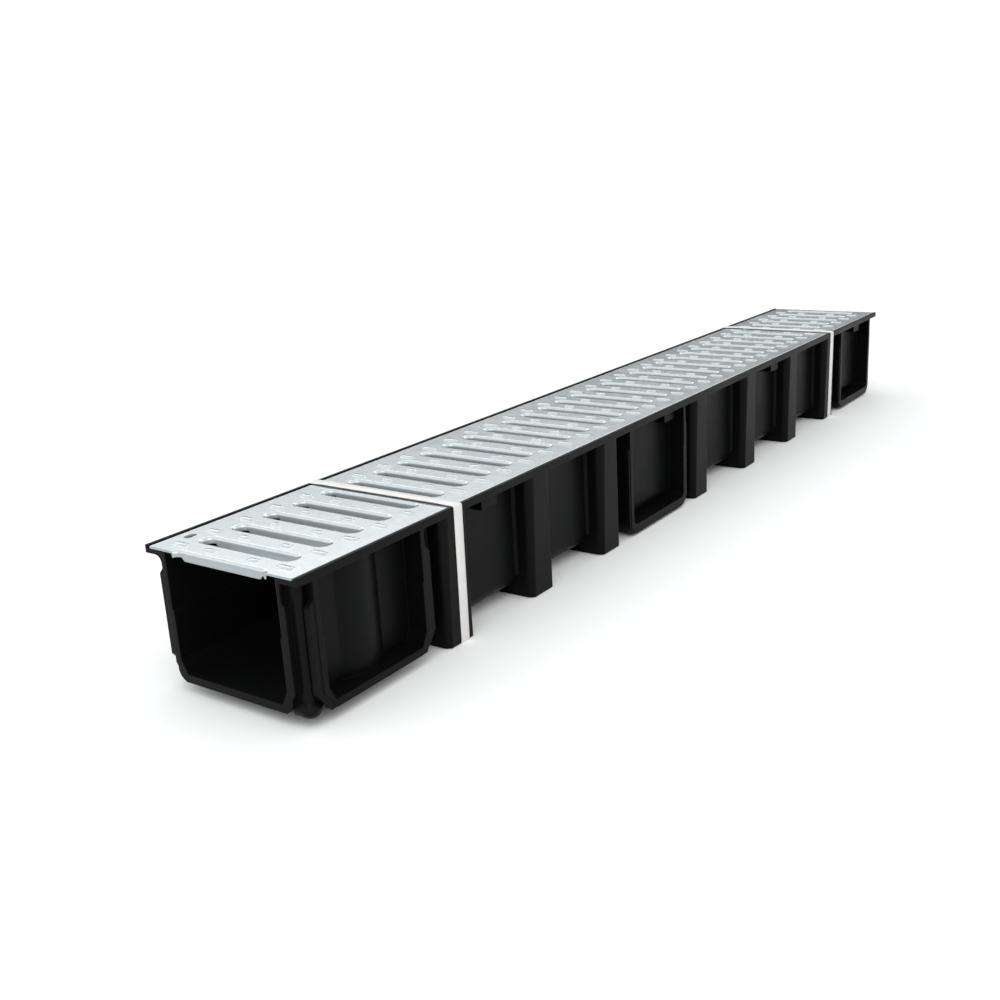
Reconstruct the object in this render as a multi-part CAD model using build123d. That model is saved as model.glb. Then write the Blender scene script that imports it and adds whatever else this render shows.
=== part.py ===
from build123d import *
import os

# Drainage channel: one moulded plastic trough with box ribs under a flanged rim, a pressed steel
# grating that lies in the rim's rebate, and two straps wound round both for transport.
# Millimetres. +X runs along the channel, +Y across it, +Z up. The origin is below the middle of
# the channel, on the surface that it stands on.

# Overall sizes
length = 1000.0
rim_width = 130.0
channel_height = 96.4

# Trough: a U with rounded lower corners outside and chamfered ones inside
trough_width = 100.0
trough_wall = 2.7
rib_drop = 7.9
floor_thickness = 5.5
corner_radius = 8.5
bore_step = 1.0
bore_step_height = 48.5
bore_chamfer_width = 4.8
bore_chamfer_height = 9.5

# Rim: a flange with an upstanding lip round the grating's rebate
rim_band = 5.2
lip_thickness = 2.5

# Collar round each open end of the trough. On the +Y side it is thinner and runs up into the flange.
collar_growth = 2.5
far_collar_growth = 1.4
far_collar_fillet = 5.0
collar_depth = 6.0
collar_height = 68.6
collar_chamfer_width = 8.3
collar_chamfer_height = 14.0
collar_bevel = 2.5

# Box ribs, open underneath
rib_width = 29.5
rib_wall = 2.4
rib_corner_radius = 7.0
rib_draft = 1.0
rib_root_chamfer = 2.0
front_ribs = 3
first_rib = 145.7
front_rib_pitch = 101.3
rear_ribs = 4
first_rear_rib = 514.2
last_rib_inset = 155.5

# Branch frames on both long sides, where a side channel can be let in
front_branch = 62.2
middle_branch = 431.3
rear_branch_inset = 69.7
branch_opening = 93.6
branch_wall = 3.4
branch_recess = 0.4
branch_collar_depth = 4.0
branch_collar_height = 67.2
branch_collar_recess = 0.5
front_branch_collar_growth = 4.9
branch_floor_thickness = 5.1
branch_chamfer_width = 10.0
branch_chamfer_height = 12.5
deep_branch_collar_growth = 2.2
deep_branch_drop = 6.2
deep_branch_floor_thickness = 7.6
deep_branch_radius = 10.0
deep_branch_inner_radius = 5.5
panel_width = 38.0
panel_bulge = 6.0

# Round post beside the front end, on the -Y side: a slim stem on a wider foot
post_radius = 3.4
post_foot_radius = 7.2
post_inset = 7.8
post_setback = 1.8
post_drop = 2.9

# Latch hoods under the flange, placed from the ribs and branch frames beside them
hood_past_first_rib = 46.3
hood_past_middle_branch = 31.3
hood_before_sixth_rib = 36.8
hood_past_rear_branch = 19.7
hood_length = 18.0
hood_reach = 8.5
hood_height = 10.0
hood_wall = 1.6

# Grating, pressed from sheet
sheet = 1.5
grate_clearance = 1.5
grate_below_rim = 0.4
slot_pitch = 27.42
first_slot = 25.15
slot_length = 83.6
slot_width = 14.0
slot_end_chords = 4
lip_width = 1.8
end_lip_depth = 4.2
side_lip_depth = 6.6
dimple_width = 6.0
dimple_height = 0.9
dimple_end_chords = 2
outer_dimple_length = 13.0
outer_dimple_place = 45.0
inner_dimple_length = 9.5
inner_dimple_place = 18.5
lock_hole_length = 8.8
lock_hole_width = 5.2
lock_hole_from_end = 25.4
lock_hole_from_edge = 8.2

# Straps
strap_width = 8.8
strap_thickness = 0.6
strap_past_rib = 2.4

# Heights above the ground, and half widths across the channel
foot_z = strap_thickness
trough_z = foot_z + rib_drop
floor_z = trough_z + floor_thickness
rim_z = foot_z + channel_height
flange_z = rim_z - rim_band
step_z = trough_z + bore_step_height
grate_z = rim_z - grate_below_rim
ledge_z = grate_z - sheet
dimple_z = grate_z + dimple_height
front_x = -length / 2
rim_half = rim_width / 2
trough_half = trough_width / 2
bore_half = trough_half - trough_wall
rebate_half = rim_half - lip_thickness
grate_half = rebate_half - grate_clearance
branch_half = branch_opening / 2
branch_reach = rim_half - trough_half - branch_recess

# Places along the channel
rear_rib_pitch = (length - last_rib_inset - first_rear_rib) / (rear_ribs - 1)
ribs_x = [front_x + first_rib + i * front_rib_pitch for i in range(front_ribs)]
ribs_x += [front_x + first_rear_rib + i * rear_rib_pitch for i in range(rear_ribs)]
branches_x = [front_x + front_branch, front_x + middle_branch, -front_x - rear_branch_inset]
hoods_x = [ribs_x[0] + hood_past_first_rib, branches_x[1] + hood_past_middle_branch,
           ribs_x[5] - hood_before_sixth_rib, branches_x[2] + hood_past_rear_branch]
slot_count = int((length - first_slot - slot_width / 2) // slot_pitch) + 1


def duct(half, bottom, top, chamfer_width=0.0, chamfer_height=0.0, radius=0.0):
    """Face of a duct's section, with its lower corners chamfered or rounded."""
    side = [(half - chamfer_width, bottom), (half, bottom + chamfer_height), (half, top)]
    if not chamfer_width:
        side = side[1:]
    face = Polygon(*side, *[(-y, z) for y, z in reversed(side)], align=None)
    if radius:
        face = fillet(face.vertices().group_by(Axis.Y)[0], radius)
    return face


def band(half, bottom, top):
    """Rectangle from bottom to top, half to each side of the middle."""
    return Pos(0, (bottom + top) / 2) * Rectangle(2 * half, top - bottom)


def along(face, start, distance):
    """Prism of a section across the channel, from x = start."""
    return extrude(Plane.YZ.offset(start) * face, distance)


def both_sides(solid):
    """A solid on the -Y side together with its mirror image."""
    return solid + mirror(solid, about=Plane.XZ)


def trough_envelope():
    """Filled outside of the trough, without the rim."""
    return along(duct(trough_half, trough_z, flange_z, radius=corner_radius), front_x, length)


def rim_envelope():
    """Filled flange and rim."""
    return along(band(rim_half, flange_z, rim_z), front_x, length)


def trough_space():
    """The bore, its wider upper part and the rebate for the grating."""
    lower = duct(bore_half - bore_step, floor_z, step_z, bore_chamfer_width, bore_chamfer_height)
    face = lower + band(bore_half, step_z, ledge_z) + band(rebate_half, ledge_z, rim_z + 1)
    return along(face, front_x - 1, length + 2)


def end_collar(start):
    """Thickened band round one end, bevelled at the top on the -Y side. On the +Y side it is thinner and
    meets the flange in a fillet."""
    half = trough_half + collar_growth
    top = trough_z + collar_height
    face = duct(half, trough_z, top, collar_chamfer_width, collar_chamfer_height)
    face += Polygon((-half, top), (0, top), (0, top + collar_bevel), (-trough_half, top + collar_bevel),
                    align=None)
    far_half = trough_half + far_collar_growth
    face -= Pos(far_half + rim_half, top / 2) * Rectangle(2 * rim_half, 2 * top)
    face += Polygon((0, top), (far_half, top), (far_half, flange_z), (0, flange_z), align=None)
    radius = far_collar_fillet
    square = Pos(far_half + radius / 2, flange_z - radius / 2) * Rectangle(radius, radius)
    face += square - Pos(far_half + radius, flange_z - radius) * Circle(radius)
    return along(face, start, collar_depth)


def rib_block(x, inset, bottom):
    """One rib as a filled block with sharp corners, drawn in by inset on every side but the bottom."""
    half = rim_half - inset
    section = Polygon((-half + rib_draft, bottom), (half - rib_draft, bottom), (half, flange_z),
                      (-half, flange_z), align=None)
    width = rib_width - 2 * inset
    return along(section, x - width / 2, width)


def rib_outside(x):
    """One rib as a filled block with its upright corners rounded."""
    plan = Pos(x, 0, foot_z) * RectangleRounded(rib_width, rim_width, rib_corner_radius)
    return rib_block(x, 0.0, foot_z) & extrude(plan, flange_z - foot_z)


def rib_root(x):
    """Small upright chamfers between a rib and the trough's walls."""
    plan = Rectangle(rib_width + 2 * rib_root_chamfer, trough_width + 2 * rib_root_chamfer)
    plan = chamfer(plan.vertices(), rib_root_chamfer)
    bottom = trough_z + corner_radius
    return extrude(Pos(x, 0, bottom) * plan, flange_z - bottom)


def branch_faces(deep):
    """Sections of a branch frame: its wall, its collar and its opening."""
    wall_half = branch_half + branch_wall
    growth = deep_branch_collar_growth if deep else front_branch_collar_growth
    collar_half = wall_half + growth
    collar_top = trough_z + branch_collar_height
    if deep:
        bottom = trough_z - deep_branch_drop
        floor = bottom + deep_branch_floor_thickness
        wall = duct(wall_half, bottom, flange_z, radius=deep_branch_radius)
        collar = duct(collar_half, bottom, collar_top, radius=deep_branch_radius)
        lower = duct(branch_half - bore_step, floor, step_z, radius=deep_branch_inner_radius)
    else:
        floor = trough_z + branch_floor_thickness
        wall = duct(wall_half, trough_z, flange_z, branch_chamfer_width, branch_chamfer_height)
        collar = duct(collar_half, trough_z, collar_top, branch_chamfer_width, branch_chamfer_height)
        lower = duct(branch_half - bore_step, floor, step_z, bore_chamfer_width, bore_chamfer_height)
    collar += Polygon((-collar_half, collar_top), (collar_half, collar_top),
                      (wall_half, collar_top + growth), (-wall_half, collar_top + growth), align=None)
    return wall, collar, lower + band(branch_half, step_z, flange_z)


def branch_frame(x, deep):
    """Frame round a side opening, open outwards, with the closed trough wall behind it. Its floor runs in
    under the trough's rounded corner."""
    wall, collar, opening = branch_faces(deep)
    outwards = Plane(origin=(x, -trough_half + corner_radius, 0), x_dir=(1, 0, 0), z_dir=(0, -1, 0))
    depth = branch_reach + corner_radius
    collar_start = depth - branch_collar_recess - branch_collar_depth
    frame = extrude(outwards * (wall - opening), depth)
    frame += extrude(outwards.offset(collar_start) * (collar - opening), branch_collar_depth)
    return frame


def branch_panel(x):
    """Shallow round bulge on the trough's wall inside the front branch frames."""
    radius = (panel_width ** 2 / 4 + panel_bulge ** 2) / (2 * panel_bulge)
    drum = Pos(x, -trough_half - panel_bulge + radius, 0) * Circle(radius)
    strip = Pos(x, -trough_half, 0) * Rectangle(panel_width + 2, 2 * panel_bulge)
    bottom = trough_z + 1
    return extrude(Pos(0, 0, bottom) * (drum & strip), flange_z - bottom)


def post_face():
    """Upright section through the middle of the post: the stem, its flare and the round foot."""
    low = trough_z - post_drop
    foot_centre = low + post_foot_radius
    neck = foot_centre + post_foot_radius - post_radius
    side = [(post_foot_radius, foot_centre), (post_radius, neck), (post_radius, flange_z)]
    stem = Polygon(*side, *[(-x, z) for x, z in reversed(side)], align=None)
    ball = Pos(0, foot_centre) * Circle(post_foot_radius)
    return stem + (ball & band(post_foot_radius, low, foot_centre))


def post(x):
    """Upright round post, joined to the trough's wall by a web of its own outline."""
    reach = rim_half - post_setback - post_foot_radius - trough_half
    outwards = Plane(origin=(x, -trough_half + 1, 0), x_dir=(1, 0, 0), z_dir=(0, -1, 0))
    web = extrude(outwards * post_face(), reach + 1)
    half = post_face() & Pos(post_foot_radius, flange_z / 2) * Rectangle(2 * post_foot_radius, flange_z)
    return web + Pos(x, -trough_half - reach, 0) * revolve(Plane.XZ * half, Axis.Z)


def hood_block(x):
    """Latch hood as a filled block under the flange."""
    low = flange_z - hood_height
    return Pos(x, -trough_half + 1 - (hood_reach + 1) / 2, (low + flange_z) / 2) * Box(
        hood_length, hood_reach + 1, hood_height)


def hood_space(x):
    """Hollow of a latch hood, open towards the front end."""
    inner = hood_height - 2 * hood_wall
    low = flange_z - hood_height + hood_wall
    return Pos(x - hood_wall, -trough_half - (hood_reach - hood_wall) / 2, low + inner / 2) * Box(
        hood_length, hood_reach - hood_wall, inner)


def make_channel():
    """The moulded trough with its rim, ribs, branch frames, posts, collars and hoods."""
    envelope = trough_envelope()
    channel = envelope + rim_envelope()
    channel += [end_collar(front_x), end_collar(-front_x - collar_depth)]
    for x in ribs_x:
        channel += rib_outside(x)
        hollow = rib_block(x, rib_wall, foot_z - 1) - envelope
        channel -= hollow
        channel += rib_root(x) - hollow
    for number, x in enumerate(branches_x):
        channel += both_sides(branch_frame(x, deep=number > 0))
    channel += both_sides(branch_panel(branches_x[0]))
    channel += post(front_x + post_inset)
    for x in hoods_x:
        channel += both_sides(hood_block(x))
        channel -= both_sides(hood_space(x))
    return channel - trough_space()


def slot_face(half_length, half_width, chords):
    """Slot outline across the grating, each round end drawn with a few chords of its half circle."""
    centre = Vector(0, half_length - half_width)
    radius = Vector(half_width, 0)
    side = [centre + radius.rotate(Axis.Z, 180 * i / chords) for i in range(chords + 1)]
    return Polygon(*side, *[-point for point in side], align=None)


def grate_slots_x():
    """Middle of each slot. The first one is cut through by the front end of the sheet."""
    return [front_x + first_slot + i * slot_pitch for i in range(-1, slot_count)]


def mouth_face(inset):
    """Outline of a slot, drawn in by inset."""
    return slot_face(slot_length / 2 - inset, slot_width / 2 - inset, slot_end_chords)


def slot_collar():
    """Turned-down collar round one slot: shallow round its ends and deeper along its straight sides."""
    inset = lip_width - sheet
    ends = extrude(mouth_face(inset), -end_lip_depth)
    sides = extrude(Rectangle(slot_width - 2 * inset, slot_length - slot_width), -side_lip_depth)
    return ends + sides


def slot_passage():
    """Way through one slot, with the sloping lip at its mouth."""
    lip = loft([mouth_face(0.0), Pos(0, 0, -lip_width) * mouth_face(lip_width)], ruled=True)
    return lip + extrude(mouth_face(lip_width), -side_lip_depth)


def make_grating():
    """Pressed sheet that lies in the rebate: slots with collars and lips, and raised dimples between them."""
    overrun = 2 * slot_width
    grating = along(band(grate_half, ledge_z, grate_z), front_x - overrun, length + 2 * overrun)
    collar, passage = slot_collar(), slot_passage()
    places = [Pos(x, 0, grate_z) for x in grate_slots_x()]
    grating += [place * collar for place in places]
    grating -= [place * passage for place in places]
    grating &= Pos(0, 0, grate_z) * Box(length, rim_width, 4 * side_lip_depth)
    grating += dimples()
    lock_hole = Rot(0, 0, 90) * slot_face(lock_hole_length / 2, lock_hole_width / 2, slot_end_chords)
    lock_place = Pos(front_x + lock_hole_from_end, grate_half - lock_hole_from_edge, ledge_z - 1)
    return grating - lock_place * extrude(lock_hole, sheet + 2)


def dimples():
    """Raised pads with sloping sides, four on each land between two slots."""
    lands = [x + slot_pitch / 2 for x in grate_slots_x()[:-1]]
    rows = [(side * outer_dimple_place, outer_dimple_length) for side in (-1, 1)]
    rows += [(side * inner_dimple_place, inner_dimple_length) for side in (-1, 1)]
    pads = []
    for y, size in rows:
        pad = extrude(slot_face(size / 2, dimple_width / 2, dimple_end_chords), dimple_height, taper=45)
        pads += [Pos(x, y, grate_z) * pad for x in lands]
    return pads


def make_strap(rib_x):
    """Closed band that follows the outside of a rib and the rim, and runs over the dimples."""
    crest_half = outer_dimple_place + outer_dimple_length / 2
    side = [(rim_half - rib_draft, foot_z), (rim_half, flange_z), (rim_half, rim_z), (crest_half, dimple_z)]
    inner = Polygon(*side, *[(-y, z) for y, z in reversed(side)], align=None)
    outer = offset(inner, amount=strap_thickness, kind=Kind.INTERSECTION)
    return along(outer - inner, rib_x + strap_past_rib - strap_width / 2, strap_width)


def main():
    os.makedirs("parts", exist_ok=True)
    export_step(make_channel(), "parts/channel.step")
    export_step(make_grating(), "parts/grating.step")
    export_step(make_strap(ribs_x[0]), "parts/strap_front.step")
    export_step(make_strap(ribs_x[-1]), "parts/strap_rear.step")


main()
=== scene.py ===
import math

import bmesh
import bpy
import numpy as np
from mathutils import Matrix, Vector


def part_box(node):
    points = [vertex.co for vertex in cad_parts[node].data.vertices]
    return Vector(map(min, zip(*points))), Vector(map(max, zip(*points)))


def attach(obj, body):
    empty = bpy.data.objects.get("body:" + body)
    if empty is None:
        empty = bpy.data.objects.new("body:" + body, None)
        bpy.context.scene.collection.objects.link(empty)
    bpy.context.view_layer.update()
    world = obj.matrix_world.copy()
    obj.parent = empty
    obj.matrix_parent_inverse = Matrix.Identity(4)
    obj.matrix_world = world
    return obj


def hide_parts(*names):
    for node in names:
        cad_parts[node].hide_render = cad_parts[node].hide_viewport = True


# Looks of the drainage channel: a black moulded trough, a pressed galvanised grating and two white straps.
# Metres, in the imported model's frame: +X along the channel from the end with the post, +Y across it, +Z up.

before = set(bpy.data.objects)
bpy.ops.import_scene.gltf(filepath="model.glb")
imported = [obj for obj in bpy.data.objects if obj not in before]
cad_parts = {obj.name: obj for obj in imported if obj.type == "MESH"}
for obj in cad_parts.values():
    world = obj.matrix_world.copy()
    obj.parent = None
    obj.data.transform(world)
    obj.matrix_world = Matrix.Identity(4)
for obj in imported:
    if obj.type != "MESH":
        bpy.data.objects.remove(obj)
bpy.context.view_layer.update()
MM = 0.001
ALONG, ACROSS, UP = 0, 1, 2

# Grating: its outer box is the CAD node's, and the rest are the pressing's own sizes
GRATE_LOW, GRATE_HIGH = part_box("grating")
FRONT, REAR = GRATE_LOW.x, GRATE_HIGH.x
HALF_WIDTH = GRATE_HIGH.y
DIMPLE_HEIGHT = 0.9 * MM
SHEET = 1.5 * MM
SHEET_TOP = GRATE_HIGH.z - DIMPLE_HEIGHT

# Slots: length and width at the mouth, the lip's outer radius, and the collar's depth along the sides and at
# the round ends, with the length over which it changes
SLOT_COUNT = 36
SLOT_PITCH = 27.42 * MM
FIRST_SLOT = 25.15 * MM
SLOT_LENGTH = 83.6 * MM
SLOT_WIDTH = 14.0 * MM
LIP_RADIUS = 2.4 * MM
SIDE_COLLAR = SHEET_TOP - GRATE_LOW.z
END_COLLAR = 4.2 * MM
COLLAR_RAMP = 2.5 * MM

# Dimples, as (distance of the middle from the sheet's middle line, length). The rings and the crown's start
# are shares of the way from the outline to the middle line. The last ring stops just short of that line, so
# that it stays a ring, and the first is sunk a little under the land.
OUTER_DIMPLE = (45.0 * MM, 13.0 * MM)
INNER_DIMPLE = (18.5 * MM, 9.5 * MM)
DIMPLE_WIDTH = 6.0 * MM
DIMPLE_CROWN = 0.56
DIMPLE_RINGS = (0.0, 0.14, 0.28, 0.42, DIMPLE_CROWN, 1.0)
DIMPLE_REACH = 0.999
DIMPLE_SINK = 0.02 * MM

# Locking hole, as (length, width) and the place of its middle. The punch draws its upper edge in, with a
# chamfer at a share of that. The hole's cell starts a gap beyond the first whole slot's end.
LOCK_HOLE = (8.8 * MM, 5.2 * MM)
LOCK_HOLE_FROM_END = 25.4 * MM
LOCK_HOLE_FROM_EDGE = 8.2 * MM
PUNCH_DRAW = 0.25 * MM
PUNCH_CHAMFER = 0.3
HOLE_CELL_GAP = 1.5 * MM

# Flat ring round each opening, and the ease of the sheet's sheared sides
LAND_RING = 0.35 * MM
CUT_EASE = 0.25 * MM
LAND_EDGE = HALF_WIDTH - CUT_EASE

# Straps: thickness, radius of the bends and ease of the edges, and the band's outline. It is inset at the
# foot, runs up the rim's outer face, bends a little over the rim's top, and slopes up to lie on the dimples.
STRAP_THICKNESS = 0.6 * MM
STRAP_BEND = 1.2 * MM
STRAP_EDGE = 0.15 * MM
STRAP_FOOT_INSET = 1.3 * MM
RIM_UNDER_TOP = 1.1 * MM
RIM_HEIGHT = 5.2 * MM
RIM_BEND_OVER = 0.25 * MM
SLOPE_END_INSET = 13.6 * MM

# Steps to a quarter turn, and to each bend of a strap
SLOT_STEPS = 12
HOLE_STEPS = 8
LIP_STEPS = 7
FOOT_STEPS = 3
DIMPLE_STEPS = 4
BEND_STEPS = 5

# Points closer than the first are one point, and a coordinate closer than the second to a place is at it.
# Coordinates are compared in that many digits.
SAME_POINT = 2e-6
AT_PLACE = 1e-7
PLACE_DIGITS = 7

# Camera, fitted to the photograph by the ends of the slots and the corners of the rim. Angles are in degrees,
# and the lens and the sensor in millimetres.
CAMERA_PLACE = (-0.91975, -0.51095, 0.32256)
CAMERA_YAW = 35.911
CAMERA_PITCH = -17.229
CAMERA_ROLL = -3.316
CAMERA_LENS = 41.69
CAMERA_SENSOR = 36.0
CAMERA_REACH = 200.0

# Studio tent. Heights are sines of the height angle: where the wall starts to brighten, where it is
# brightest, where the roof starts to dim, and where the roof is even. Strengths are the wall's near the floor
# and where it is brightest, and the roof's as a share of that.
TENT_DARK = 0.22
TENT_BRIGHT = 0.42
ROOF_START = 0.43
ROOF_EVEN = 0.6
DARK_STRENGTH = 0.06
BRIGHT_STRENGTH = 2.4
ROOF_SHARE = 0.46

# Soft box over the front end, and the floor's reach to each side
BOX_PLACE = (-1.2, -0.6, 1.3)
BOX_TARGET = (-0.4, 0.0, 0.05)
BOX_SIDE = 1.0
BOX_WATTS = 6.0
FLOOR_REACH = 30.0


def linear(code):
    """sRGB hex value as a linear colour."""
    parts = [int(code[i:i + 2], 16) / 255 for i in (1, 3, 5)]
    return (*[p / 12.92 if p <= 0.04045 else ((p + 0.055) / 1.055) ** 2.4 for p in parts], 1.0)


def surface(grid, close_rows=False, close_columns=False):
    """Points and quads of an array of points (rows, columns, 3). Each quad's normal is the column direction
    crossed with the row direction."""
    rows, columns = grid.shape[:2]
    number = np.arange(rows * columns).reshape(rows, columns)
    if close_rows:
        number = np.vstack([number, number[:1]])
    if close_columns:
        number = np.hstack([number, number[:, :1]])
    quads = np.stack([number[:-1, :-1], number[:-1, 1:], number[1:, 1:], number[1:, :-1]], axis=-1)
    return grid.reshape(-1, 3), quads.reshape(-1, 4)


def joined(parts):
    """One set of points and quads from several."""
    starts = np.cumsum([0] + [len(points) for points, quads in parts])
    points = np.vstack([points for points, quads in parts])
    quads = np.vstack([quads + start for (points, quads), start in zip(parts, starts)])
    return points, quads


def moved(part, x=0.0, y=0.0, z=0.0):
    """A part shifted by x, y and z."""
    return part[0] + np.array([x, y, z]), part[1]


def piece(name, part, material, sharp_degrees=38.0):
    """Object of one part, with its doubles merged and its edges sharp past an angle."""
    mesh = bpy.data.meshes.new(name)
    mesh.from_pydata(part[0].tolist(), [], part[1].tolist())
    work = bmesh.new()
    work.from_mesh(mesh)
    bmesh.ops.remove_doubles(work, verts=work.verts, dist=SAME_POINT)
    bmesh.ops.dissolve_degenerate(work, edges=work.edges, dist=AT_PLACE)
    work.to_mesh(mesh)
    work.free()
    mesh.polygons.foreach_set("use_smooth", np.ones(len(mesh.polygons), bool))
    mesh.set_sharp_from_angle(angle=math.radians(sharp_degrees))
    mesh.materials.append(material)
    mesh.update()
    thing = bpy.data.objects.new(name, mesh)
    bpy.context.scene.collection.objects.link(thing)
    return thing


def quarter_turns(steps, start=0.0):
    """Angles from start to a quarter turn."""
    return np.linspace(start, math.pi / 2, steps + 1)


def stadium(half_length, half_width, steps, ramp=0.0, cut=None):
    """Points round a slot along Y, counter-clockwise from its lower end: two half circles of radius
    half_width, steps points to each quarter, joined by straights. With ramp, each straight has a point that
    far from either end. With cut, only what lies at x over cut."""
    straight = half_length - half_width
    turn = quarter_turns(steps, 0.0 if cut is None else math.asin(cut / half_width))
    lower = np.stack([half_width * np.sin(turn), -straight - half_width * np.cos(turn)], axis=1)
    if ramp:
        lower = np.vstack([lower, (half_width, ramp - straight)])
    right = np.vstack([lower, (lower * (1, -1))[::-1]])
    return right if cut is not None else np.vstack([right[:-1], -right[:-1]])


def rectangle(low_x, high_x, low_y, high_y, steps, ramp_y=0.0, cut=None):
    """Points round a rectangle, one for each point of the stadium of the same steps and cut. Each quarter
    circle of the stadium belongs to half of a short side, and its ramp points to points at ramp_y on the
    long sides."""
    part = np.linspace(0.0, 1.0, steps + 1)
    start = 0.0 if cut is None else cut

    def half_side(far_x, y, turned_y):
        line = np.stack([start + (far_x - start) * part, np.full(steps + 1, y)], axis=1)
        return np.vstack([line, (far_x, turned_y)]) if ramp_y else line

    lower, upper = half_side(high_x, low_y, -ramp_y), half_side(high_x, high_y, ramp_y)[::-1]
    if cut is not None:
        return np.vstack([lower, upper])
    left_upper, left_lower = half_side(low_x, high_y, ramp_y), half_side(low_x, low_y, -ramp_y)[::-1]
    return np.vstack([lower, upper[:-1], left_upper, left_lower[:-1]])


def pressed_profile():
    """Section of the sheet at a slot, as distance outside the mouth, height over the sheet, and 1 where it
    takes part in the deeper collar along the sides: land, rolled lip as a quarter circle, collar, its
    round foot as a half circle, and back up under the sheet on the inner quarter circle."""
    turn = quarter_turns(LIP_STEPS)
    level = np.zeros(len(turn))
    lip = np.stack([-LIP_RADIUS * np.sin(turn), LIP_RADIUS * (np.cos(turn) - 1), level], axis=1)
    foot_radius = SHEET / 2
    foot_turn = np.linspace(0, math.pi, 2 * FOOT_STEPS + 1)
    foot = np.stack([foot_radius * (1 - np.cos(foot_turn)) - LIP_RADIUS,
                     foot_radius * (1 - np.sin(foot_turn)) - END_COLLAR, np.ones(len(foot_turn))], axis=1)
    inner_radius = LIP_RADIUS - SHEET
    inner_height = inner_radius * (np.cos(turn) - 1) - SHEET
    inner = np.stack([-inner_radius * np.sin(turn), inner_height, level], axis=1)
    return np.vstack([[(LAND_RING, 0.0, 0.0)], lip, foot, inner[::-1], [(LAND_RING, -SHEET, 0.0)]])


def punched_profile():
    """Section of the sheet at a plain punched hole, with a slightly drawn-in upper edge."""
    draw = PUNCH_DRAW
    chamfer = PUNCH_CHAMFER * draw
    line = [(LAND_RING + draw, 0.0), (draw, 0.0), (chamfer, -chamfer), (0.0, -draw),
            (0.0, -SHEET), (draw, -SHEET), (LAND_RING + draw, -SHEET)]
    return np.array([(out, height, 0.0) for out, height in line])


def sheet_cell(profile, size, low_x, high_x, low_y, high_y, steps, ramp=0.0, cut=None):
    """The sheet round one opening of a size (length, width), about its own middle: each point of the profile
    is carried round the opening, and the land runs out to a rectangle above and below. Along the straight
    sides the collar grows to its full depth over the length of the ramp. A cut end gets its face."""
    ramp_y = (size[0] - size[1]) / 2 - ramp if ramp else 0.0
    rings = []
    for out, height, deep in profile:
        loop = stadium(size[0] / 2 + out, size[1] / 2 + out, steps, ramp, cut)
        on_side = np.abs(loop[:, ACROSS]) <= ramp_y + AT_PLACE
        fall = deep * (SIDE_COLLAR - END_COLLAR) * on_side
        rings.append(np.column_stack([loop, height - fall]))
    edge = rectangle(low_x, high_x, low_y, high_y, steps, ramp_y, cut)
    upper = np.column_stack([edge, np.zeros(len(edge))])
    lower = np.column_stack([edge, np.full(len(edge), -SHEET)])
    grid = np.stack([upper, *rings, lower])
    parts = [surface(grid, close_columns=cut is None)]
    if cut is not None:
        half = len(grid) // 2 + 1
        parts.append(surface(np.stack([grid[:half, 0], grid[::-1][:half, 0]])))
        parts.append(surface(np.stack([grid[::-1][:half, -1], grid[:half, -1]])))
    return joined(parts)


def quarter_turned(part):
    """A part turned by a quarter turn about the vertical."""
    x, y, z = part[0].T
    return np.stack([-y, x, z], axis=1), part[1]


def cut_edge(part, axis, place):
    """Sheared edge of the sheet where a part ends at a place along an axis: its section, upright and eased
    above and below, is carried through the part's own points there."""
    points = part[0]
    other = ALONG if axis == ACROSS else ACROSS
    on_edge = (np.abs(points[:, axis] - place) < AT_PLACE) & (np.abs(points[:, UP]) < AT_PLACE)
    run = np.unique(np.round(points[on_edge, other], PLACE_DIGITS))
    ease = math.copysign(CUT_EASE, place) if axis == ACROSS else 0.0
    drop = CUT_EASE if ease else 0.0
    grid = np.zeros((4, len(run), 3))
    grid[:, :, other] = run
    grid[:, :, axis] = np.array([place, place + ease, place + ease, place])[:, None]
    grid[:, :, UP] = np.array([0.0, -drop, drop - SHEET, -SHEET])[:, None]
    outwards = (place > 0) == (axis == ACROSS)
    return surface(grid if outwards else grid[:, ::-1])


def dimple(length):
    """Pressed dimple: stadium rings drawn in towards the middle, whose height follows the square of a sine
    up to a flat crown, so that its foot runs smoothly into the sheet."""
    half_width = DIMPLE_WIDTH / 2
    rings = []
    for share in DIMPLE_RINGS:
        inset = half_width * share * DIMPLE_REACH
        loop = stadium(length / 2 - inset, half_width - inset, DIMPLE_STEPS)
        rise = DIMPLE_HEIGHT * math.sin(math.pi / 2 * min(1.0, share / DIMPLE_CROWN)) ** 2
        sunk = DIMPLE_SINK if share == 0.0 else 0.0
        rings.append(np.column_stack([loop, np.full(len(loop), rise - sunk)]))
    return surface(np.stack(rings), close_columns=True)


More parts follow.
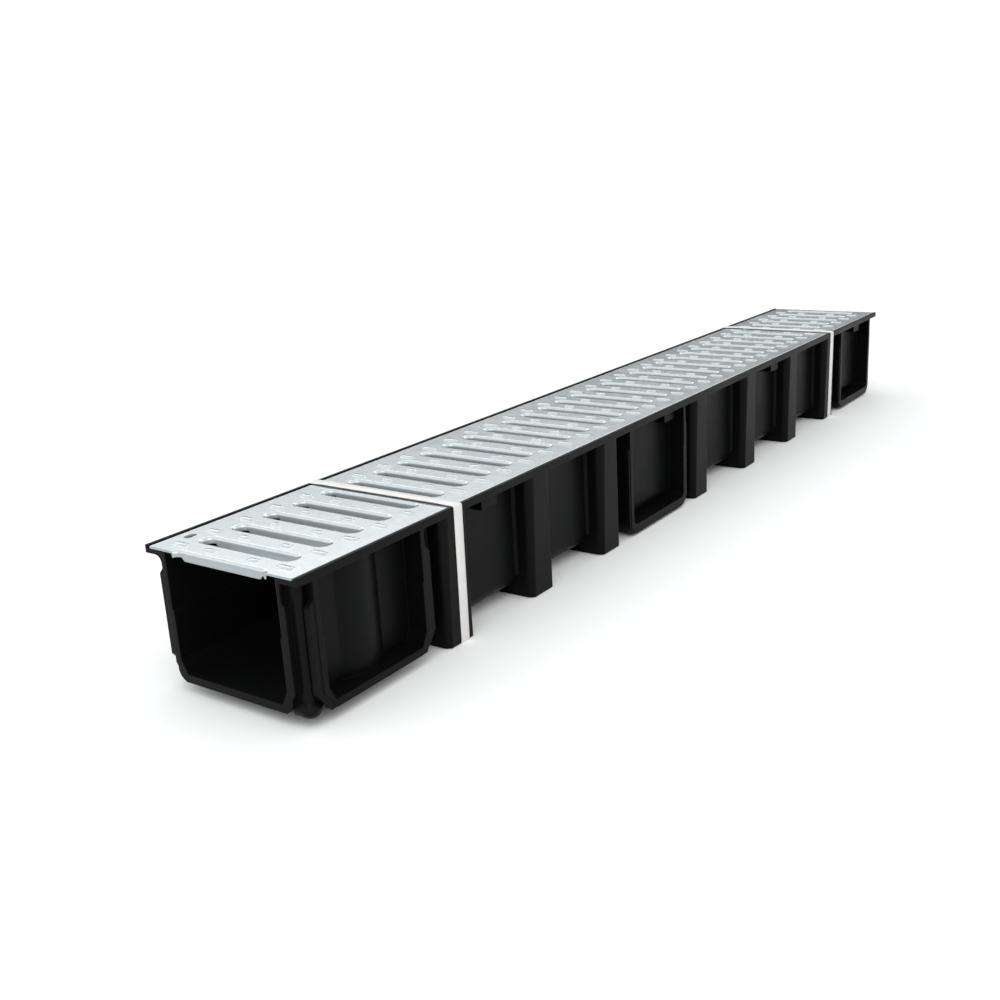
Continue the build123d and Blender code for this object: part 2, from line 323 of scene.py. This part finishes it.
def make_grating(material):
    """The whole grating: a cell for each slot, the half slot that the front end cuts through, the locking
    hole in a cell of its own, the sheared edges, and dimples on each land between two slots."""
    size = (SLOT_LENGTH, SLOT_WIDTH)
    half = SLOT_PITCH / 2
    middles = FRONT + FIRST_SLOT + SLOT_PITCH * np.arange(-1, SLOT_COUNT)
    profile = pressed_profile()

    def slot_cell(x, low_x=-half, high_x=half, high_y=LAND_EDGE, cut=None):
        cell = sheet_cell(profile, size, low_x, high_x, -LAND_EDGE, high_y, SLOT_STEPS, COLLAR_RAMP, cut)
        return moved(cell, x=x)

    parts = [slot_cell(middles[0], cut=FRONT - middles[0])]
    parts += [slot_cell(x) for x in middles[2:-1]]
    parts.append(slot_cell(middles[-1], high_x=REAR - middles[-1]))

    split = SLOT_LENGTH / 2 + HOLE_CELL_GAP
    parts.append(slot_cell(middles[1], high_y=split))
    hole_x = FRONT + LOCK_HOLE_FROM_END
    hole_y = HALF_WIDTH - LOCK_HOLE_FROM_EDGE
    near, far = middles[1] - half - hole_x, middles[1] + half - hole_x
    hole_cell = (split - hole_y, LAND_EDGE - hole_y, -far, -near)
    hole = sheet_cell(punched_profile(), LOCK_HOLE, *hole_cell, HOLE_STEPS)
    parts.append(moved(quarter_turned(hole), x=hole_x, y=hole_y))

    pressed = joined(parts)
    edges = ((ACROSS, LAND_EDGE), (ACROSS, -LAND_EDGE), (ALONG, REAR))
    parts = [pressed] + [cut_edge(pressed, axis, place) for axis, place in edges]
    for place, length in (OUTER_DIMPLE, INNER_DIMPLE):
        bump = dimple(length)
        parts += [moved(bump, x + half, side * place) for x in middles[:-1] for side in (-1, 1)]
    return piece("grating_pressing", moved(joined(parts), z=SHEET_TOP), material)


def rounded_loop(corners, radius, steps):
    """Closed line through corners, each rounded by an arc of at most radius: the arc's middle lies on the
    bisector, and its ends a tangent length from the corner."""
    corners = np.array(corners)
    line = []
    for before, here, after in zip(np.roll(corners, 1, 0), corners, np.roll(corners, -1, 0)):
        to_before, to_after = before - here, after - here
        reach = min(np.linalg.norm(to_before), np.linalg.norm(to_after)) / 2
        to_before = to_before / np.linalg.norm(to_before)
        to_after = to_after / np.linalg.norm(to_after)
        half_angle = math.acos(np.clip(to_before @ to_after, -1, 1)) / 2
        tangent = min(radius / math.tan(half_angle), reach)
        true_radius = tangent * math.tan(half_angle)
        bisector = (to_before + to_after) / np.linalg.norm(to_before + to_after)
        centre = here + bisector * true_radius / math.sin(half_angle)
        first, last = here + to_before * tangent - centre, here + to_after * tangent - centre
        share = np.linspace(0, 1, steps + 1)[:, None]
        swing = math.pi - 2 * half_angle
        arc = (np.sin((1 - share) * swing) * first + np.sin(share * swing) * last) / math.sin(swing)
        line.append(centre + arc)
    return np.vstack(line)


def make_strap(node, material):
    """Band round the rib and the rim: its section, a flat bar with eased edges, is carried round the outline
    of the CAD strap with rounded corners. The UV map's U is the length along the band and V runs across
    it, in metres."""
    low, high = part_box(node)
    middle = (low.x + high.x) / 2
    half_width = (high.x - low.x) / 2
    half_thick = STRAP_THICKNESS / 2
    side = high.y - half_thick
    rim_z = high.z - RIM_UNDER_TOP
    line = [(high.y - STRAP_FOOT_INSET, low.z + half_thick), (side, rim_z - RIM_HEIGHT),
            (side, rim_z + RIM_BEND_OVER), (high.y - SLOPE_END_INSET, high.z - half_thick)]
    line += [(-y, z) for y, z in reversed(line)]
    loop = rounded_loop(line, STRAP_BEND, BEND_STEPS)
    ahead = np.roll(loop, -1, 0) - np.roll(loop, 1, 0)
    ahead /= np.linalg.norm(ahead, axis=1)[:, None]
    outward = np.stack([ahead[:, 1], -ahead[:, 0]], axis=1)
    inner_width, inner_thick = half_width - STRAP_EDGE, half_thick - STRAP_EDGE
    across = np.array([(-half_width, -inner_thick), (-half_width, inner_thick), (-inner_width, half_thick),
                       (inner_width, half_thick), (half_width, inner_thick), (half_width, -inner_thick),
                       (inner_width, -half_thick), (-inner_width, -half_thick)])
    grid = np.zeros((len(loop), len(across), 3))
    grid[:, :, 0] = middle + across[:, 0]
    grid[:, :, 1:] = loop[:, None, :] + outward[:, None, :] * across[None, :, 1, None]
    part = surface(grid, close_rows=True, close_columns=True)
    band = piece(node + "_band", part, material, sharp_degrees=50.0)
    step = np.linalg.norm(loop - np.roll(loop, 1, 0), axis=1)
    step[0] = 0.0
    length = np.cumsum(step)
    uv = band.data.uv_layers.new(name="band")
    corner = np.zeros(len(band.data.loops), int)
    band.data.loops.foreach_get("vertex_index", corner)
    places = np.array([v.co for v in band.data.vertices])
    nearest = np.argmin(((places[:, None, 1:] - loop[None]) ** 2).sum(-1), axis=1)
    flat = np.column_stack([length[nearest], places[:, 0] - middle])[corner]
    uv.data.foreach_set("uv", flat.ravel())
    return band


def add(tree, kind, inputs=(), **settings):
    """One node with its settings. A socket among inputs is linked, and any other value is set."""
    node = tree.nodes.new(kind)
    for name, value in settings.items():
        setattr(node, name, value)
    for name, value in dict(inputs).items():
        if isinstance(value, bpy.types.NodeSocket):
            tree.links.new(value, node.inputs[name])
        else:
            node.inputs[name].default_value = value
    return node


def per(size_mm):
    """Texture scale that gives features of size_mm on Object coordinates in metres."""
    return 1000.0 / size_mm


def blank(name):
    """Empty node material, and its tree."""
    material = bpy.data.materials.new(name)
    material.use_nodes = True
    material.node_tree.nodes.clear()
    return material, material.node_tree


def moulded_polypropylene():
    """Injection-moulded black polypropylene: satin, nearly black, with faint flow mottling that shows in its
    gloss, dusty scuffs drawn out along the channel, and edges rounded by the mould, which catch the light.
    Its eroded mould grain is drawn here at 0.9 mm, coarser than the real 0.2 mm, so that it shows."""
    material, tree = blank("moulded black polypropylene")
    place = add(tree, "ShaderNodeTexCoord").outputs["Object"]
    mottle = add(tree, "ShaderNodeTexNoise", {
        "Vector": place, "Scale": per(55), "Detail": 4.0, "Roughness": 0.55}).outputs["Fac"]
    stretched = add(tree, "ShaderNodeMapping", {"Vector": place, "Scale": (0.25, 1.0, 1.0)})
    scuff = add(tree, "ShaderNodeTexNoise", {
        "Vector": stretched.outputs["Vector"], "Scale": per(4.0), "Detail": 6.0, "Roughness": 0.7})
    worn = add(tree, "ShaderNodeMapRange", {
        "Value": scuff.outputs["Fac"], "From Min": 0.6, "From Max": 0.8, "To Min": 0.0, "To Max": 0.35})
    tone = add(tree, "ShaderNodeMix", {
        "Factor": mottle, "A": linear("#09090A"), "B": linear("#0D0E0E")}, data_type="RGBA")
    dusty = add(tree, "ShaderNodeMix", {
        "Factor": worn.outputs["Result"], "A": tone.outputs["Result"], "B": linear("#181918")},
        data_type="RGBA")
    gloss = add(tree, "ShaderNodeMapRange", {
        "Value": mottle, "From Min": 0.3, "From Max": 0.7, "To Min": 0.32, "To Max": 0.43})
    grain = add(tree, "ShaderNodeTexNoise", {"Vector": place, "Scale": per(0.9), "Detail": 3.0})
    edge = add(tree, "ShaderNodeBevel", {"Radius": 0.8 * MM}, samples=6)
    bump = add(tree, "ShaderNodeBump", {
        "Height": grain.outputs["Fac"], "Normal": edge.outputs["Normal"],
        "Strength": 0.12, "Distance": 0.1 * MM})
    shader = add(tree, "ShaderNodeBsdfPrincipled", {
        "Base Color": dusty.outputs["Result"], "Roughness": gloss.outputs["Result"],
        "Normal": bump.outputs["Normal"], "IOR": 1.49, "Specular IOR Level": 0.08})
    add(tree, "ShaderNodeOutputMaterial", {"Surface": shader.outputs["BSDF"]})
    return material


def galvanised_sheet():
    """Hot-dip galvanised steel sheet, skin-passed and pressed: pale grey metal with faint zinc spangle in its
    gloss, and a soft uneven shine. Its rolling marks run along the sheet, and are drawn here at 1.5 mm,
    coarser than the real 0.3 mm, so that they show. Where the press has drawn it round, at lips and collars,
    the zinc is stretched rough and dull and less metallic, and its base colour there is a darker grey as
    painted shade on the slot walls."""
    material, tree = blank("galvanised steel sheet")
    place = add(tree, "ShaderNodeTexCoord").outputs["Object"]
    spangle = add(tree, "ShaderNodeTexVoronoi", {
        "Vector": place, "Scale": per(3.5), "Randomness": 1.0}, feature="F1")
    flake = add(tree, "ShaderNodeRGBToBW", {"Color": spangle.outputs["Color"]}).outputs["Val"]
    cloud = add(tree, "ShaderNodeTexNoise", {
        "Vector": place, "Scale": per(40), "Detail": 5.0, "Roughness": 0.6})
    drawn = add(tree, "ShaderNodeMapping", {"Vector": place, "Scale": (0.05, 1.0, 1.0)})
    streak = add(tree, "ShaderNodeTexNoise", {
        "Vector": drawn.outputs["Vector"], "Scale": per(1.5), "Detail": 3.0})
    tone = add(tree, "ShaderNodeMix", {
        "Factor": flake, "A": linear("#CBD2D4"), "B": linear("#D4DBDD")}, data_type="RGBA")
    gloss = add(tree, "ShaderNodeMapRange", {"Value": flake, "To Min": 0.36, "To Max": 0.46})
    uneven = add(tree, "ShaderNodeMath", {
        0: gloss.outputs["Result"], 1: cloud.outputs["Fac"]}, operation="MULTIPLY")
    shine = add(tree, "ShaderNodeMapRange", {
        "Value": uneven.outputs["Value"], "From Min": 0.14, "From Max": 0.27, "To Min": 0.24, "To Max": 0.28})
    normal = add(tree, "ShaderNodeNewGeometry").outputs["Normal"]
    upright = add(tree, "ShaderNodeSeparateXYZ", {"Vector": normal}).outputs["Z"]
    # Faces tilted away from level: rougher and less metallic where the press drew the zinc, and painted
    # darker as painted shade
    formed_and_painted_shade = add(tree, "ShaderNodeMapRange", {
        "Value": upright, "From Min": 0.75, "From Max": 0.15}).outputs["Result"]
    rough = add(tree, "ShaderNodeMix", {"Factor": formed_and_painted_shade, "A": shine.outputs["Result"], "B": 0.55})
    bloom = add(tree, "ShaderNodeMapRange", {"Value": formed_and_painted_shade, "To Min": 1.0, "To Max": 0.5})
    # Painted shade: the base colour turns a darker grey on faces tilted away from level, the slot walls and
    # lips
    tone_and_painted_shade = add(tree, "ShaderNodeMix", {
        "Factor": formed_and_painted_shade, "A": tone.outputs["Result"], "B": linear("#ACB5B8")}, data_type="RGBA")
    bump = add(tree, "ShaderNodeBump", {
        "Height": streak.outputs["Fac"], "Strength": 0.035, "Distance": 0.1 * MM})
    shader = add(tree, "ShaderNodeBsdfPrincipled", {
        "Base Color": tone_and_painted_shade.outputs["Result"], "Roughness": rough.outputs["Result"],
        "Metallic": bloom.outputs["Result"], "Normal": bump.outputs["Normal"]})
    add(tree, "ShaderNodeOutputMaterial", {"Surface": shader.outputs["BSDF"]})
    return material


def strapping_band():
    """Extruded white polypropylene strapping, slightly glossy, and a little grey where it has rubbed. The
    small diamonds rolled into it are drawn here at 2.4 mm, coarser than the real 1.5 mm, so that they
    show."""
    material, tree = blank("white polypropylene strapping")
    along = add(tree, "ShaderNodeUVMap", uv_map="band").outputs["UV"]
    turned = add(tree, "ShaderNodeMapping", {"Vector": along, "Rotation": (0.0, 0.0, math.radians(45))})
    diamonds = add(tree, "ShaderNodeTexVoronoi", {
        "Vector": turned.outputs["Vector"], "Scale": per(2.4), "Randomness": 0.0},
        feature="F1", distance="CHEBYCHEV")
    rubbed = add(tree, "ShaderNodeTexNoise", {"Vector": along, "Scale": per(12), "Detail": 4.0})
    tone = add(tree, "ShaderNodeMix", {
        "Factor": rubbed.outputs["Fac"], "A": linear("#D2D1CF"), "B": linear("#E6E5E3")}, data_type="RGBA")
    bump = add(tree, "ShaderNodeBump", {
        "Height": diamonds.outputs["Distance"], "Strength": 0.35, "Distance": 0.15 * MM})
    shader = add(tree, "ShaderNodeBsdfPrincipled", {
        "Base Color": tone.outputs["Result"], "Roughness": 0.42, "Normal": bump.outputs["Normal"],
        "IOR": 1.49, "Subsurface Weight": 0.1, "Subsurface Scale": 1.0 * MM})
    add(tree, "ShaderNodeOutputMaterial", {"Surface": shader.outputs["BSDF"]})
    return material


def studio_floor():
    """Plain floor, painted nearly white, large enough to reach the horizon."""
    material, tree = blank("painted studio floor")
    place = add(tree, "ShaderNodeTexCoord").outputs["Object"]
    cloud = add(tree, "ShaderNodeTexNoise", {"Vector": place, "Scale": per(600), "Detail": 2.0})
    tone = add(tree, "ShaderNodeMix", {
        "Factor": cloud.outputs["Fac"], "A": linear("#F7F7F7"), "B": linear("#FAFAFA")}, data_type="RGBA")
    shader = add(tree, "ShaderNodeBsdfPrincipled", {
        "Base Color": tone.outputs["Result"], "Roughness": 0.8, "Specular IOR Level": 0.1})
    add(tree, "ShaderNodeOutputMaterial", {"Surface": shader.outputs["BSDF"]})
    ends = (-FLOOR_REACH, FLOOR_REACH)
    floor = piece("studio_floor", surface(np.array([[(x, y, 0.0) for x in ends] for y in ends])), material)


def studio_tent():
    """Pale tent round the scene: its wall is dim near the floor and brightest about 25 degrees up, and its
    roof is even. The camera sees plain white."""
    world = bpy.data.worlds.new("pale studio")
    bpy.context.scene.world = world
    world.use_nodes = True
    tree = world.node_tree
    tree.nodes.clear()
    ray = add(tree, "ShaderNodeLightPath").outputs["Is Camera Ray"]
    direction = add(tree, "ShaderNodeTexCoord").outputs["Generated"]
    height = add(tree, "ShaderNodeSeparateXYZ", {"Vector": direction}).outputs["Z"]
    wall = add(tree, "ShaderNodeMapRange", {
        "Value": height, "From Min": TENT_DARK, "From Max": TENT_BRIGHT,
        "To Min": DARK_STRENGTH, "To Max": BRIGHT_STRENGTH}, interpolation_type="SMOOTHSTEP")
    roof = add(tree, "ShaderNodeMapRange", {
        "Value": height, "From Min": ROOF_START, "From Max": ROOF_EVEN,
        "To Min": 1.0, "To Max": ROOF_SHARE}, interpolation_type="SMOOTHSTEP")
    strength = add(tree, "ShaderNodeMath", {
        0: wall.outputs["Result"], 1: roof.outputs["Result"]}, operation="MULTIPLY")
    lighting = add(tree, "ShaderNodeBackground", {
        "Color": linear("#F8F9F9"), "Strength": strength.outputs["Value"]})
    seen = add(tree, "ShaderNodeBackground", {"Color": linear("#FFFFFF"), "Strength": 1.0})
    either = add(tree, "ShaderNodeMixShader", {
        0: ray, 1: lighting.outputs["Background"], 2: seen.outputs["Background"]})
    add(tree, "ShaderNodeOutputWorld", {"Surface": either.outputs["Shader"]})


def soft_box():
    """Square area light that fills in the front end."""
    lamp = bpy.data.lights.new("front_box", "AREA")
    lamp.shape = "SQUARE"
    lamp.size = BOX_SIDE
    lamp.energy = BOX_WATTS
    thing = bpy.data.objects.new("front_box", lamp)
    thing.location = BOX_PLACE
    towards = Vector(BOX_TARGET) - Vector(BOX_PLACE)
    thing.rotation_euler = towards.to_track_quat("-Z", "Y").to_euler()
    bpy.context.scene.collection.objects.link(thing)


def place_camera():
    """Camera at the photograph's viewing angle: yaw about the vertical from +X, pitch up from level, then
    roll about the line of sight."""
    yaw, pitch, roll = (math.radians(v) for v in (CAMERA_YAW, CAMERA_PITCH, CAMERA_ROLL))
    forward = Vector((math.cos(pitch) * math.cos(yaw), math.cos(pitch) * math.sin(yaw), math.sin(pitch)))
    level = forward.cross(Vector((0, 0, 1))).normalized()
    upright = level.cross(forward)
    right = level * math.cos(roll) + upright * math.sin(roll)
    up = upright * math.cos(roll) - level * math.sin(roll)
    data = bpy.data.cameras.new("photograph")
    data.lens = CAMERA_LENS
    data.sensor_width = CAMERA_SENSOR
    data.clip_end = CAMERA_REACH
    camera = bpy.data.objects.new("photograph", data)
    turn = Matrix((right, up, -forward)).transposed().to_4x4()
    camera.matrix_world = Matrix.Translation(CAMERA_PLACE) @ turn
    bpy.context.scene.collection.objects.link(camera)
    bpy.context.scene.camera = camera


def dress_nodes():
    """Materials on the CAD nodes, and detailed pieces in place of the grating and the straps."""
    plastic = moulded_polypropylene()
    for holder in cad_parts["channel"].material_slots:
        holder.material = plastic
    grating = make_grating(galvanised_sheet())
    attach(grating, "root")
    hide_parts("grating")
    band_material = strapping_band()
    for node in ("strap_front", "strap_rear"):
        band = make_strap(node, band_material)
        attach(band, "root")
        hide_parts(node)


dress_nodes()
studio_floor()
studio_tent()
soft_box()
place_camera()
bpy.context.scene.view_settings.view_transform = "Standard"
